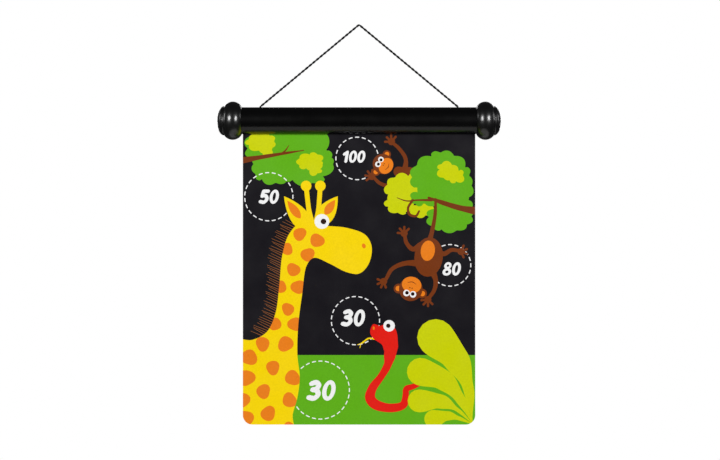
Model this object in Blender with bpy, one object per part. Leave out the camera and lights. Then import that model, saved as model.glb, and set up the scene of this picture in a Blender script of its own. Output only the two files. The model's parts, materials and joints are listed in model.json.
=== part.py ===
"""Roll-up magnetic dartboard: a flexible play sheet that hangs from, and winds into, a slotted tube.

Metres, +Z up, +Y to the back, +X to the viewer's right. The origin is where the cord hangs on its
hook. A rod inside the tube carries the sheet's top edge; a knob on each end of the rod turns it.
Pieces on the tube's axis are drawn in the axis's own frame and placed at AXIS_Z.
"""

import math

import bmesh
import bpy
from mathutils import Matrix, Vector

# Where things hang
HANG_TO_AXIS = 0.1197
AXIS_Z = -HANG_TO_AXIS
GAP = 0.0003

# Housing tube, open along the bottom by a slot
TUBE_RADIUS = 0.0170
TUBE_WALL = 0.0012
TUBE_BORE = TUBE_RADIUS - TUBE_WALL
TUBE_HALF = 0.1585
SLOT_HALF = 0.0016
CORD_HOLE_X = 0.1250
CORD_HOLE_RADIUS = 0.0015

# Play sheet
SHEET_HALF_WIDTH = 0.1470
SHEET_THICK = 0.0005
SHEET_BOTTOM = 0.3845
SHEET_CORNER = 0.0120
LOWER_EDGE_HEIGHT = 0.0200
SLOT_DEPTH = 0.0160
FEED_END_DEPTH = 0.0175

# Winding rod and the roll on it
ROD_RADIUS = 0.0050
ROD_BODY_HALF = 0.1489
JOURNAL_RADIUS = 0.0040
JOURNAL_END = 0.1622
ROD_END = 0.1675
ROD_FLAT = 0.0028
PILOT_RADIUS = 0.0018
PILOT_DEPTH = 0.0120
GROOVE_ANGLE = math.radians(70)
GROOVE_HALF_WIDTH = 0.0013
GROOVE_HALF_LENGTH = 0.1476
GROOVE_FLOOR = 0.0020
FIRST_TURN_RADIUS = 0.0056
LAST_TURN_RADIUS = 0.0066
TAIL_OFFSET = 0.00075
TAIL_BEND = 0.0006
STRIP_THICK = 0.0012
STRIP_TOP = 0.0047

# End bush, friction ring, knob, washer, screw and cap, by their place along the axis
BUSH_START = 0.1495
BUSH_RADIUS = TUBE_BORE - GAP
BUSH_BORE = JOURNAL_RADIUS + GAP
FLANGE_RADIUS = 0.0169
FLANGE_START = TUBE_HALF + GAP
FLANGE_END = FLANGE_START + 0.0015
KEY_HALF_WIDTH = 0.0012
KEY_DEPTH = 0.0168
RING_START = FLANGE_END + GAP
RING_END = RING_START + 0.0015
RING_RADIUS = 0.0120
RING_BORE = 0.0046
KNOB_START = 0.1485
KNOB_BORE = TUBE_RADIUS + GAP
KNOB_BULGE_X = 0.1599
KNOB_BULGE_CENTRE = 0.0110
KNOB_BULGE_RADIUS = 0.0132
KNOB_END = 0.1711
WEB_START = RING_END + GAP
WEB_END = WEB_START + 0.0030
HUB_RADIUS = 0.0075
HUB_END = 0.1680
MOUTH_RADIUS = 0.0150
WASHER_START = HUB_END + GAP
WASHER_END = WASHER_START + 0.0010
WASHER_RADIUS = 0.0060
WASHER_BORE = 0.0019
SCREW_SHANK_RADIUS = 0.0015
SCREW_TIP = 0.1570
SCREW_HEAD_START = WASHER_END + GAP
SCREW_HEAD_HEIGHT = 0.0024
SCREW_HEAD_RADIUS = 0.0034
CAP_START = KNOB_END + GAP
CAP_RIM_RADIUS = 0.0185
CAP_RIM_HEIGHT = 0.0014
CAP_DOME_RADIUS = 0.0184
CAP_APEX = 0.1800
CAP_WALL = 0.0015
SKIRT_RADIUS = MOUTH_RADIUS - GAP
SKIRT_BORE = 0.0132
SKIRT_START = 0.1664

# Hanging cord: its route from the left knot to the apex, as (x, height above the tube's axis).
# The right leg mirrors it.
CORD_RADIUS = 0.0012
CORD_ROUTE = [
    (-0.12500, 0.01570),
    (-0.12498, 0.01690),
    (-0.12480, 0.01762),
    (-0.12441, 0.01813),
    (-0.12250, 0.01972),
    (-0.11900, 0.02262),
    (-0.09700, 0.04089),
    (-0.06300, 0.06913),
    (-0.02900, 0.09737),
    (-0.00700, 0.11564),
    (-0.00240, 0.11946),
    (-0.00115, 0.12047),
    (-0.00055, 0.12080),
]
CORD_APEX = (0.0, 0.12090)
LEG_SPACING = 0.0058
BEND_SPACING = 0.0008
BEND_REACH = 0.0060
KNOT_RADIUS = 0.0020
KNOT_HEIGHT = 0.0134

ROUND_STEPS = 48
BORE_STEPS = 32
SMOOTH_ANGLE = math.radians(35)


def clear_scene():
    for obj in list(bpy.data.objects):
        bpy.data.objects.remove(obj)


def make_material(name, colour, roughness, metallic=0.0):
    material = bpy.data.materials.new(name)
    material.use_nodes = True
    shader = material.node_tree.nodes["Principled BSDF"]
    shader.inputs["Base Color"].default_value = (*colour, 1.0)
    shader.inputs["Roughness"].default_value = roughness
    shader.inputs["Metallic"].default_value = metallic
    return material


def make_empty(name, location):
    empty = bpy.data.objects.new(name, None)
    empty.location = location
    bpy.context.scene.collection.objects.link(empty)
    return empty


def make_object(name, bm, material, parent):
    """The bmesh as a named object under its parent, with its faces pointing out."""
    bmesh.ops.recalc_face_normals(bm, faces=bm.faces)
    mesh = bpy.data.meshes.new(name)
    bm.to_mesh(mesh)
    bm.free()
    mesh.shade_smooth()
    mesh.set_sharp_from_angle(angle=SMOOTH_ANGLE)
    obj = bpy.data.objects.new(name, mesh)
    bpy.context.scene.collection.objects.link(obj)
    obj.parent = parent
    if material:
        mesh.materials.append(material)
    return obj


def arc(centre, radius, start, end, steps, height=None):
    """Points of an arc in a plane, from the start angle to the end angle, in degrees.

    A height, its second radius, makes the arc part of an ellipse.
    """
    height = height or radius
    points = []
    for i in range(steps + 1):
        angle = math.radians(start + (end - start) * i / steps)
        points.append(
            (centre[0] + radius * math.cos(angle), centre[1] + height * math.sin(angle))
        )
    return points


def turned(profile, side=1, steps=ROUND_STEPS, closed=True):
    """The (x, radius) profile spun about the X axis, mirrored to -X when side is -1."""
    bm = bmesh.new()
    verts = [bm.verts.new((side * x, 0.0, r)) for x, r in profile]
    pairs = list(zip(verts, verts[1:]))
    if closed:
        pairs.append((verts[-1], verts[0]))
    edges = [bm.edges.new(pair) for pair in pairs]
    bmesh.ops.spin(
        bm,
        geom=verts + edges,
        cent=(0, 0, 0),
        axis=(1, 0, 0),
        angle=math.tau,
        steps=steps,
    )
    bmesh.ops.remove_doubles(bm, verts=bm.verts, dist=1e-6)
    return bm


def extruded(outline, low, high, axis="X"):
    """A closed outline of (a, b) points drawn out from low to high along X (a, b are y, z) or Y (x, z)."""
    bm = bmesh.new()
    if axis == "X":
        verts = [bm.verts.new((low, a, b)) for a, b in outline]
        travel = Vector((high - low, 0, 0))
    else:
        verts = [bm.verts.new((a, low, b)) for a, b in outline]
        travel = Vector((0, high - low, 0))
    face = bm.faces.new(verts)
    made = bmesh.ops.extrude_face_region(bm, geom=[face])
    moved = [v for v in made["geom"] if isinstance(v, bmesh.types.BMVert)]
    bmesh.ops.translate(bm, verts=moved, vec=travel)
    return bm


def box(low, high, turn=0.0):
    """A box between two corners, then turned about the X axis."""
    low, high = Vector(low), Vector(high)
    bm = bmesh.new()
    bmesh.ops.create_cube(bm, size=1.0)
    size = Matrix.Diagonal((*(high - low), 1.0))
    place = Matrix.Translation((low + high) / 2)
    bmesh.ops.transform(bm, matrix=place @ size, verts=bm.verts)
    bmesh.ops.rotate(
        bm,
        cent=(0, 0, 0),
        matrix=Matrix.Rotation(turn, 3, "X"),
        verts=bm.verts,
    )
    return bm


def ribbon(path, half_width, thickness):
    """A strip of the given thickness that follows a path of (y, z) points, drawn out along X."""
    points = [Vector(p) for p in path]
    left, right = [], []
    for i, point in enumerate(points):
        before = points[max(i - 1, 0)]
        after = points[min(i + 1, len(points) - 1)]
        along = (after - before).normalized()
        across = Vector((-along.y, along.x)) * thickness / 2
        left.append(point + across)
        right.append(point - across)
    bm = bmesh.new()
    rings = []
    for a, b in zip(left, right):
        rings.append([
            bm.verts.new((-half_width, a.x, a.y)),
            bm.verts.new((half_width, a.x, a.y)),
            bm.verts.new((half_width, b.x, b.y)),
            bm.verts.new((-half_width, b.x, b.y)),
        ])
    for low, high in zip(rings, rings[1:]):
        for k in range(4):
            bm.faces.new((low[k], low[(k + 1) % 4], high[(k + 1) % 4], high[k]))
    bm.faces.new(rings[0])
    bm.faces.new(rings[-1])
    return bm


def add_boolean(obj, cutter, operation="DIFFERENCE"):
    """The tool shapes the object, and stays in the scene as a hidden wire guide."""
    cutter.hide_render = True
    cutter.display_type = "WIRE"
    modifier = obj.modifiers.new(cutter.name, "BOOLEAN")
    modifier.operation = operation
    modifier.solver = "EXACT"
    modifier.object = cutter


def spline_through(points, samples):
    """A centripetal Catmull-Rom curve through the points, with that many samples in each span."""
    points = [Vector(p) for p in points]
    points = [2 * points[0] - points[1], *points, 2 * points[-1] - points[-2]]
    knots = [0.0]
    for a, b in zip(points, points[1:]):
        knots.append(knots[-1] + math.sqrt((b - a).length))
    curve = []
    for i in range(1, len(points) - 2):
        t0, t1, t2, t3 = knots[i - 1 : i + 3]
        p0, p1, p2, p3 = points[i - 1 : i + 3]
        for k in range(samples):
            t = t1 + (t2 - t1) * k / samples
            a1 = p0 * ((t1 - t) / (t1 - t0)) + p1 * ((t - t0) / (t1 - t0))
            a2 = p1 * ((t2 - t) / (t2 - t1)) + p2 * ((t - t1) / (t2 - t1))
            a3 = p2 * ((t3 - t) / (t3 - t2)) + p3 * ((t - t2) / (t3 - t2))
            b1 = a1 * ((t2 - t) / (t2 - t0)) + a2 * ((t - t0) / (t2 - t0))
            b2 = a2 * ((t3 - t) / (t3 - t1)) + a3 * ((t - t1) / (t3 - t1))
            curve.append(b1 * ((t2 - t) / (t2 - t1)) + b2 * ((t - t1) / (t2 - t1)))
    curve.append(points[-2])
    return curve


def cord_centreline():
    """The whole cord, knot to knot: close points round its bends and wider ones on its legs."""
    left = [Vector((x, 0.0, h)) for x, h in CORD_ROUTE]
    right = [Vector((-p.x, p.y, p.z)) for p in reversed(left)]
    fine = spline_through([*left, Vector((CORD_APEX[0], 0.0, CORD_APEX[1])), *right], 60)
    bends = [left[2], Vector((CORD_APEX[0], 0.0, CORD_APEX[1])), right[-3]]
    kept, walked = [fine[0]], 0.0
    for before, point in zip(fine, fine[1:]):
        walked += (point - before).length
        near_bend = min((point - bend).length for bend in bends) < BEND_REACH
        if walked >= (BEND_SPACING if near_bend else LEG_SPACING):
            kept.append(point)
            walked = 0.0
    kept[-1] = fine[-1]
    return kept


def slot_outline():
    """The housing tube's section: a ring open at the bottom, with full-round slot edges."""
    lip_radius = TUBE_WALL / 2
    middle = TUBE_RADIUS - lip_radius
    open_angle = math.degrees(math.asin((SLOT_HALF + lip_radius) / middle))
    start, end = -90 + open_angle, 270 - open_angle
    outer = arc((0, 0), TUBE_RADIUS, start, end, ROUND_STEPS)
    inner = arc((0, 0), TUBE_BORE, end, start, ROUND_STEPS)
    front = [middle * math.cos(math.radians(end)), middle * math.sin(math.radians(end))]
    back = [middle * math.cos(math.radians(start)), middle * math.sin(math.radians(start))]
    front_lip = arc(front, lip_radius, end, end + 180, 6)[1:-1]
    back_lip = arc(back, lip_radius, start + 180, start + 360, 6)[1:-1]
    return outer + front_lip + inner + back_lip


def add_housing_tube(material, parent):
    tube = make_object(
        "housing_tube",
        extruded(slot_outline(), -TUBE_HALF, TUBE_HALF),
        material,
        parent,
    )
    for name, side in (("left", -1), ("right", 1)):
        bm = bmesh.new()
        bmesh.ops.create_cone(
            bm,
            cap_ends=True,
            segments=32,
            radius1=CORD_HOLE_RADIUS,
            radius2=CORD_HOLE_RADIUS,
            depth=4 * TUBE_WALL,
        )
        place = (side * CORD_HOLE_X, 0, TUBE_RADIUS - TUBE_WALL / 2)
        bmesh.ops.translate(bm, verts=bm.verts, vec=place)
        add_boolean(tube, make_object(f"cutter_{name}_cord_hole", bm, None, parent))


def add_end_bush(name, side, material, parent):
    """Plugs the tube's end and carries the rod's journal; its key sits in the tube's slot."""
    chamfer = 0.0004
    profile = [
        (BUSH_START, BUSH_BORE),
        (BUSH_START, BUSH_RADIUS - chamfer),
        (BUSH_START + chamfer, BUSH_RADIUS),
        (FLANGE_START, BUSH_RADIUS),
        (FLANGE_START, FLANGE_RADIUS - chamfer),
        (FLANGE_START + chamfer, FLANGE_RADIUS),
        (FLANGE_END - chamfer, FLANGE_RADIUS),
        (FLANGE_END, FLANGE_RADIUS - chamfer),
        (FLANGE_END, BUSH_BORE),
    ]
    bush = make_object(
        f"{name}_end_bush", turned(profile, side, BORE_STEPS), material, parent
    )
    ends = sorted((side * (BUSH_START + 0.0010), side * (FLANGE_START + 0.0005)))
    key = box(
        (ends[0], -KEY_HALF_WIDTH, -KEY_DEPTH),
        (ends[1], KEY_HALF_WIDTH, -BUSH_RADIUS + 0.0010),
    )
    add_boolean(bush, make_object(f"tool_{name}_bush_key", key, None, parent), "UNION")


def roll_place(angle, radius):
    return (radius * math.cos(angle), radius * math.sin(angle))


def feed_start_angle():
    """Where a straight line from the slot touches the roll's outermost turn, at the back."""
    return -math.pi / 2 + math.acos(LAST_TURN_RADIUS / SLOT_DEPTH)


def feed_path():
    """From the roll, down through the slot, in one easy bend."""
    angle = feed_start_angle()
    start = Vector(roll_place(angle, LAST_TURN_RADIUS))
    end = Vector((0.0, -FEED_END_DEPTH))
    reach = (end - start).length
    pull_in = Vector((math.sin(angle), -math.cos(angle))) * reach
    pull_out = Vector((0.0, -1.0)) * reach
    steps = 14
    path = []
    for i in range(steps + 1):
        t = i / steps
        point = start * (2 * t**3 - 3 * t**2 + 1) + pull_in * (t**3 - 2 * t**2 + t)
        point += end * (3 * t**2 - 2 * t**3) + pull_out * (t**3 - t**2)
        path.append(tuple(point))
    return path


def wound_path():
    """From the feed, round the rod about one and a quarter times, then bent into the groove."""
    start = feed_start_angle() + GAP / LAST_TURN_RADIUS
    lean = math.asin((TAIL_BEND + TAIL_OFFSET) / (FIRST_TURN_RADIUS - TAIL_BEND))
    end = GROOVE_ANGLE + math.tau - lean
    steps = 44
    path = []
    for i in range(steps + 1):
        share = i / steps
        radius = LAST_TURN_RADIUS + (FIRST_TURN_RADIUS - LAST_TURN_RADIUS) * share
        path.append(roll_place(start + (end - start) * share, radius))
    pivot = (
        -TAIL_OFFSET - TAIL_BEND,
        math.sqrt((FIRST_TURN_RADIUS - TAIL_BEND) ** 2 - (TAIL_OFFSET + TAIL_BEND) ** 2),
    )
    bend = arc(pivot, TAIL_BEND, 90 + math.degrees(lean), 0, 7)[1:]
    tail = [*bend, (-TAIL_OFFSET, GROOVE_FLOOR + GAP)]
    return path + [in_groove(s, h) for s, h in tail]


def in_groove(sideways, height):
    """A point given across the groove and up out of it, as (y, z)."""
    up = (math.cos(GROOVE_ANGLE), math.sin(GROOVE_ANGLE))
    side = (-up[1], up[0])
    return (side[0] * sideways + up[0] * height, side[1] * sideways + up[1] * height)


def add_play_sheet(material, housing, winder, sheet_end):
    """One printed sheet, modelled as the turn on the rod, the hanging panel and its lower edge."""
    thick = SHEET_THICK
    make_object(
        "play_sheet_wound_turn",
        ribbon(wound_path(), SHEET_HALF_WIDTH, thick),
        material,
        winder,
    )
    split = SHEET_BOTTOM - LOWER_EDGE_HEIGHT
    panel = [*feed_path(), (0.0, -split + GAP / 2)]
    make_object(
        "play_sheet", ribbon(panel, SHEET_HALF_WIDTH, thick), material, housing
    )
    right, left = SHEET_HALF_WIDTH, -SHEET_HALF_WIDTH
    top, bottom = LOWER_EDGE_HEIGHT - GAP / 2, 0.0
    corner = (right - SHEET_CORNER, bottom + SHEET_CORNER)
    outline = [(left, top)]
    outline += arc((-corner[0], corner[1]), SHEET_CORNER, 180, 270, 12)
    outline += arc(corner, SHEET_CORNER, 270, 360, 12)
    outline += [(right, top)]
    make_object(
        "play_sheet_lower_edge",
        extruded(outline, -thick / 2, thick / 2, "Y"),
        material,
        sheet_end,
    )


def add_winding_rod(material, parent):
    chamfer = 0.0005
    half = [
        (ROD_BODY_HALF - chamfer, ROD_RADIUS),
        (ROD_BODY_HALF, ROD_RADIUS - chamfer),
        (ROD_BODY_HALF, JOURNAL_RADIUS),
        (ROD_END - chamfer, JOURNAL_RADIUS),
        (ROD_END, JOURNAL_RADIUS - chamfer),
        (ROD_END, 0.0),
    ]
    profile = [(-x, r) for x, r in reversed(half)] + half
    rod = make_object(
        "winding_rod", turned(profile, 1, BORE_STEPS, closed=False), material, parent
    )
    groove = box(
        (-GROOVE_HALF_LENGTH, -GROOVE_HALF_WIDTH, GROOVE_FLOOR),
        (GROOVE_HALF_LENGTH, GROOVE_HALF_WIDTH, 2 * ROD_RADIUS),
        GROOVE_ANGLE - math.pi / 2,
    )
    add_boolean(rod, make_object("cutter_rod_groove", groove, None, parent))
    for name, side in (("left", -1), ("right", 1)):
        ends = sorted((side * JOURNAL_END, side * (ROD_END + 0.0010)))
        flat = box(
            (ends[0], -2 * JOURNAL_RADIUS, ROD_FLAT),
            (ends[1], 2 * JOURNAL_RADIUS, 2 * JOURNAL_RADIUS),
        )
        add_boolean(rod, make_object(f"cutter_{name}_rod_flat", flat, None, parent))
        hole = [
            (ROD_END - PILOT_DEPTH, 0.0),
            (ROD_END - PILOT_DEPTH, PILOT_RADIUS),
            (ROD_END + 0.0010, PILOT_RADIUS),
            (ROD_END + 0.0010, 0.0),
        ]
        pilot = turned(hole, side, 24, closed=False)
        add_boolean(rod, make_object(f"cutter_{name}_pilot_hole", pilot, None, parent))


def add_clamp_strip(material, parent):
    """Fills the groove beside the sheet's tail."""
    side = GROOVE_HALF_WIDTH - GAP
    strip = box(
        (-SHEET_HALF_WIDTH, -side, GROOVE_FLOOR + GAP),
        (SHEET_HALF_WIDTH, -side + STRIP_THICK, STRIP_TOP),
    )
    bmesh.ops.bevel(
        strip,
        geom=strip.edges[:],
        offset=0.0002,
        segments=1,
        affect="EDGES",
    )
    bmesh.ops.rotate(
        strip,
        cent=(0, 0, 0),
        matrix=Matrix.Rotation(GROOVE_ANGLE - math.pi / 2, 3, "X"),
        verts=strip.verts,
    )
    make_object("sheet_clamp_strip", strip, material, parent)


def add_friction_ring(name, side, material, parent):
    chamfer = 0.0003
    profile = [
        (RING_START, RING_BORE),
        (RING_START, RING_RADIUS - chamfer),
        (RING_START + chamfer, RING_RADIUS),
        (RING_END - chamfer, RING_RADIUS),
        (RING_END, RING_RADIUS - chamfer),
        (RING_END, RING_BORE),
    ]
    make_object(
        f"{name}_friction_ring", turned(profile, side, BORE_STEPS), material, parent
    )


def knob_edge_angle(x):
    return math.degrees(math.acos((x - KNOB_BULGE_X) / KNOB_BULGE_RADIUS))


def add_knob(name, side, material, parent):
    """A bulged grip that turns round the tube's end, with a D hole in its web for the rod."""
    edge = 0.0003
    bulge = arc(
        (KNOB_BULGE_X, KNOB_BULGE_CENTRE),
        KNOB_BULGE_RADIUS,
        knob_edge_angle(KNOB_START + edge / 2),
        knob_edge_angle(KNOB_END - edge / 2),
        14,
    )
    end_radius = bulge[-1][1]
    profile = [
        (WEB_START, 0.0),
        (WEB_START, KNOB_BORE),
        (KNOB_START + edge, KNOB_BORE),
        (KNOB_START, KNOB_BORE + edge / 2),
        *bulge,
        (KNOB_END, end_radius - edge),
        (KNOB_END, MOUTH_RADIUS + edge),
        (KNOB_END - edge, MOUTH_RADIUS),
        (WEB_END, MOUTH_RADIUS),
        (WEB_END, HUB_RADIUS),
        (HUB_END, HUB_RADIUS),
        (HUB_END, 0.0),
    ]
    knob = make_object(
        f"{name}_knob", turned(profile, side, closed=False), material, parent
    )
    flat_angle = math.degrees(math.asin((ROD_FLAT + GAP) / BUSH_BORE))
    d_hole = arc((0, 0), BUSH_BORE, 180 - flat_angle, 360 + flat_angle, 40)
    ends = sorted((side * (WEB_START - 0.0010), side * (HUB_END + 0.0010)))
    cutter = extruded(d_hole, ends[0], ends[1])
    add_boolean(knob, make_object(f"cutter_{name}_knob_hole", cutter, None, parent))


def add_knob_cap(name, side, material, parent):
    """A shallow dome with a proud rim; its skirt snaps into the knob's mouth."""
    edge = 0.0003
    rim_x = CAP_START + CAP_RIM_HEIGHT
    depth, inner_depth = CAP_APEX - CAP_START, CAP_APEX - CAP_WALL - CAP_START
    inner_radius = CAP_DOME_RADIUS - CAP_WALL
    outer_end = math.degrees(math.acos(CAP_RIM_HEIGHT / depth))
    inner_end = math.degrees(math.asin(SKIRT_BORE / inner_radius))
    dome = arc((CAP_START, 0), depth, 0, outer_end, 8, CAP_DOME_RADIUS)
    ceiling = arc((CAP_START, 0), inner_depth, inner_end, 0, 5, inner_radius)
    dome[0] = (dome[0][0], 0.0)
    ceiling[-1] = (ceiling[-1][0], 0.0)
    profile = [
        *dome,
        (rim_x - edge / 2, CAP_RIM_RADIUS),
        (CAP_START + edge, CAP_RIM_RADIUS),
        (CAP_START, CAP_RIM_RADIUS - edge),
        (CAP_START, SKIRT_RADIUS),
        (SKIRT_START + edge, SKIRT_RADIUS),
        (SKIRT_START, SKIRT_RADIUS - edge),
        (SKIRT_START, SKIRT_BORE),
        *ceiling,
    ]
    make_object(
        f"{name}_knob_cap", turned(profile, side, closed=False), material, parent
    )


def add_washer(name, side, material, parent):
    chamfer = 0.0002
    profile = [
        (WASHER_START, WASHER_BORE),
        (WASHER_START, WASHER_RADIUS),
        (WASHER_END - chamfer, WASHER_RADIUS),
        (WASHER_END, WASHER_RADIUS - chamfer),
        (WASHER_END, WASHER_BORE),
    ]
    make_object(f"{name}_washer", turned(profile, side, 32), material, parent)


def add_knob_screw(name, side, material, parent):
    """A pan-head screw with a cross recess, driven into the rod's end."""
    head_end = SCREW_HEAD_START + SCREW_HEAD_HEIGHT
    pan_edge = 0.0009
    pan = arc(
        (head_end - pan_edge, SCREW_HEAD_RADIUS - pan_edge), pan_edge, 90, 0, 5
    )
    profile = [
        (SCREW_TIP, 0.0),
        (SCREW_TIP + 0.0008, SCREW_SHANK_RADIUS),
        (SCREW_HEAD_START, SCREW_SHANK_RADIUS),
        (SCREW_HEAD_START, SCREW_HEAD_RADIUS),
        *pan,
        (head_end, 0.0),
    ]
    screw = make_object(
        f"{name}_knob_screw", turned(profile, side, 24, closed=False), material, parent
    )
    slot_half, slot_reach, slot_depth = 0.0004, 0.0019, 0.0013
    ends = sorted((side * (head_end - slot_depth), side * (head_end + 0.0010)))
    for number, (a, b) in enumerate(((slot_half, slot_reach), (slot_reach, slot_half))):
        cutter = box((ends[0], -a, -b), (ends[1], a, b))
        add_boolean(
            screw,
            make_object(f"cutter_{name}_screw_slot_{number}", cutter, None, parent),
        )


def add_hanging_cord(material, parent):
    curve = bpy.data.curves.new("hanging_cord", "CURVE")
    curve.dimensions = "3D"
    curve.bevel_depth = CORD_RADIUS
    curve.bevel_resolution = 2
    curve.use_fill_caps = True
    points = cord_centreline()
    spline = curve.splines.new("POLY")
    spline.points.add(len(points) - 1)
    for target, point in zip(spline.points, points):
        target.co = (*point, 1.0)
    curve.materials.append(material)
    cord = bpy.data.objects.new("hanging_cord", curve)
    bpy.context.scene.collection.objects.link(cord)
    cord.parent = parent


def add_cord_knot(name, side, material, parent):
    """The stopper under the tube's wall, wider than the cord's hole."""
    bm = bmesh.new()
    bmesh.ops.create_uvsphere(bm, u_segments=12, v_segments=8, radius=KNOT_RADIUS)
    place = (side * CORD_HOLE_X, 0, KNOT_HEIGHT)
    bmesh.ops.translate(bm, verts=bm.verts, vec=place)
    make_object(f"{name}_cord_knot", bm, material, parent)


def build():
    clear_scene()
    black_gloss = make_material("black_gloss_plastic", (0.012, 0.012, 0.013), 0.28)
    grey_plastic = make_material("grey_plastic", (0.20, 0.20, 0.21), 0.50)
    printed = make_material("printed_sheet", (0.13, 0.42, 0.03), 0.40)
    cord_black = make_material("black_cord", (0.012, 0.012, 0.012), 0.80)
    rubber = make_material("friction_rubber", (0.03, 0.03, 0.03), 0.75)
    steel = make_material("zinc_steel", (0.60, 0.60, 0.58), 0.35, 1.0)
    housing = make_empty("housing_axis", (0, 0, AXIS_Z))
    winder = make_empty("winder_axis", (0, 0, AXIS_Z))
    sheet_end = make_empty("sheet_end_travel", (0, 0, AXIS_Z - SHEET_BOTTOM))
    add_housing_tube(black_gloss, housing)
    add_winding_rod(grey_plastic, winder)
    add_clamp_strip(grey_plastic, winder)
    add_play_sheet(printed, housing, winder, sheet_end)
    add_hanging_cord(cord_black, housing)
    for name, side in (("left", -1), ("right", 1)):
        add_cord_knot(name, side, cord_black, housing)
        add_end_bush(name, side, grey_plastic, housing)
        add_friction_ring(name, side, rubber, winder)
        add_knob(name, side, black_gloss, winder)
        add_washer(name, side, steel, winder)
        add_knob_screw(name, side, steel, winder)
        add_knob_cap(name, side, black_gloss, winder)


build()
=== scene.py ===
"""Looks of the roll-up magnetic dartboard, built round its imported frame.

Metres in the row's frame: +Z up, the play face looks along -Y, and the cord hangs at the origin.
The printed picture is drawn in millimetres on the flat sheet: x to the right of its middle, y up
from its lower edge.
"""

import json
import math

import bmesh
import bpy
from mathutils import Matrix, Vector, geometry


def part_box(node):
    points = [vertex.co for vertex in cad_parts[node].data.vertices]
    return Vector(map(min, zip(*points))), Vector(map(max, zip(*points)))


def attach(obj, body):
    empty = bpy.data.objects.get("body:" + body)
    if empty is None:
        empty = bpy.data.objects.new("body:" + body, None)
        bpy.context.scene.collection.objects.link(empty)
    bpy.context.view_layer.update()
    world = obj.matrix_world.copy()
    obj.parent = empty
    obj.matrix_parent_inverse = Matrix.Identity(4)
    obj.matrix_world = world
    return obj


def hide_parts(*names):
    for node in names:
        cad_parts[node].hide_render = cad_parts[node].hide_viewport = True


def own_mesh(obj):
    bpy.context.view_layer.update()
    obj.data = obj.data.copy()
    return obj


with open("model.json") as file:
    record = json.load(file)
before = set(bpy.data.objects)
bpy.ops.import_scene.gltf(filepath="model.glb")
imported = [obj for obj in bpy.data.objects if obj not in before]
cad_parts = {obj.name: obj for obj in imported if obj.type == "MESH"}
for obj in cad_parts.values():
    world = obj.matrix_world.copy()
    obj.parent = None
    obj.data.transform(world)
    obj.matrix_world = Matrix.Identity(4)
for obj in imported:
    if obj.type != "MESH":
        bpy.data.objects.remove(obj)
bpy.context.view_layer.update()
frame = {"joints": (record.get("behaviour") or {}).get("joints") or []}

MM = 0.001

# Places and sizes read from the frame
JOINTS = {joint["name"]: joint for joint in frame["joints"]}
AXIS_Z = JOINTS["knob_turn"]["pos_m"][2]
TUBE_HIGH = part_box("housing_tube")[1]
TUBE_RADIUS = TUBE_HIGH.z - AXIS_Z
TUBE_HALF = TUBE_HIGH.x
EDGE_LOW, EDGE_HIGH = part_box("play_sheet_lower_edge")
SHEET_HALF = EDGE_HIGH.x
SHEET_BOTTOM = EDGE_LOW.z
SHEET_THICK = EDGE_HIGH.y - EDGE_LOW.y
SPLIT_Z = (EDGE_HIGH.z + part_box("play_sheet")[0].z) / 2
SLOT_Z = AXIS_Z - 16.0 * MM
CORNER = 12.0 * MM
KNOT_LOW, KNOT_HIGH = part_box("right_cord_knot")
HOLE_X = (KNOT_LOW.x + KNOT_HIGH.x) / 2
GAP = 0.3 * MM
MERGE = 0.002 * MM
SIDES = (("left", -1), ("right", 1))
GROOVE_ANGLE = math.radians(70)
FIRST_TURN = 5.6 * MM
LAST_TURN = 6.6 * MM

# The cord's route from its left knot to its apex, as (x, height above the tube's axis)
CORD_ROUTE = [
    (-0.12500, 0.01570),
    (-0.12498, 0.01690),
    (-0.12480, 0.01762),
    (-0.12441, 0.01813),
    (-0.12250, 0.01972),
    (-0.11900, 0.02262),
    (-0.09700, 0.04089),
    (-0.06300, 0.06913),
    (-0.02900, 0.09737),
    (-0.00700, 0.11564),
    (-0.00240, 0.11946),
    (-0.00115, 0.12047),
    (-0.00055, 0.12080),
]
CORD_APEX = (0.0, 0.12090)
PLY_RADIUS = 0.86 * MM
PLY_OFFSET = 0.55 * MM
TWIST_PITCH = 12.0 * MM
RING_SPACING = 0.6 * MM

# The camera sees this much of the plane that the sheet hangs in
VIEW_WIDTH = 0.9111
VIEW_CENTRE_X = 0.0012
VIEW_DROP = 0.1383
LENS_MM = 150.0
SENSOR_MM = 36.0
FLOOR_RADIUS = 0.42
FLOOR_DROP = 0.20


def span(node):
    """Where a node starts and ends along the tube's axis."""
    low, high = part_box(node)
    return low.x, high.x


# ---------------------------------------------------------------- meshes

def new_object(name, data):
    obj = bpy.data.objects.new(name, data)
    bpy.context.scene.collection.objects.link(obj)
    return obj


def make_piece(name, bm, materials, body, smooth_angle=35.0):
    """The bmesh as a piece that rides on a body, smooth except at its sharp edges."""
    bmesh.ops.dissolve_degenerate(bm, edges=bm.edges, dist=MERGE)
    bmesh.ops.recalc_face_normals(bm, faces=bm.faces)
    mesh = bpy.data.meshes.new(name)
    bm.to_mesh(mesh)
    bm.free()
    mesh.shade_smooth()
    mesh.set_sharp_from_angle(angle=math.radians(smooth_angle))
    for material in materials:
        mesh.materials.append(material)
    obj = new_object(name, mesh)
    if body:
        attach(obj, body)
    return obj


def polar(angle, radius, centre=(0.0, 0.0)):
    """The flat point at an angle in radians and a distance from a centre."""
    return Vector((centre[0] + radius * math.cos(angle), centre[1] + radius * math.sin(angle)))


def arc(centre, radius, start, end, steps, height=None):
    """Points of an arc in a plane, from the start angle to the end angle, in degrees.

    A height, its second radius, makes the arc part of an ellipse.
    """
    height = height or radius
    points = []
    for i in range(steps + 1):
        angle = math.radians(start + (end - start) * i / steps)
        points.append(
            (centre[0] + radius * math.cos(angle), centre[1] + height * math.sin(angle))
        )
    return points


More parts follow.
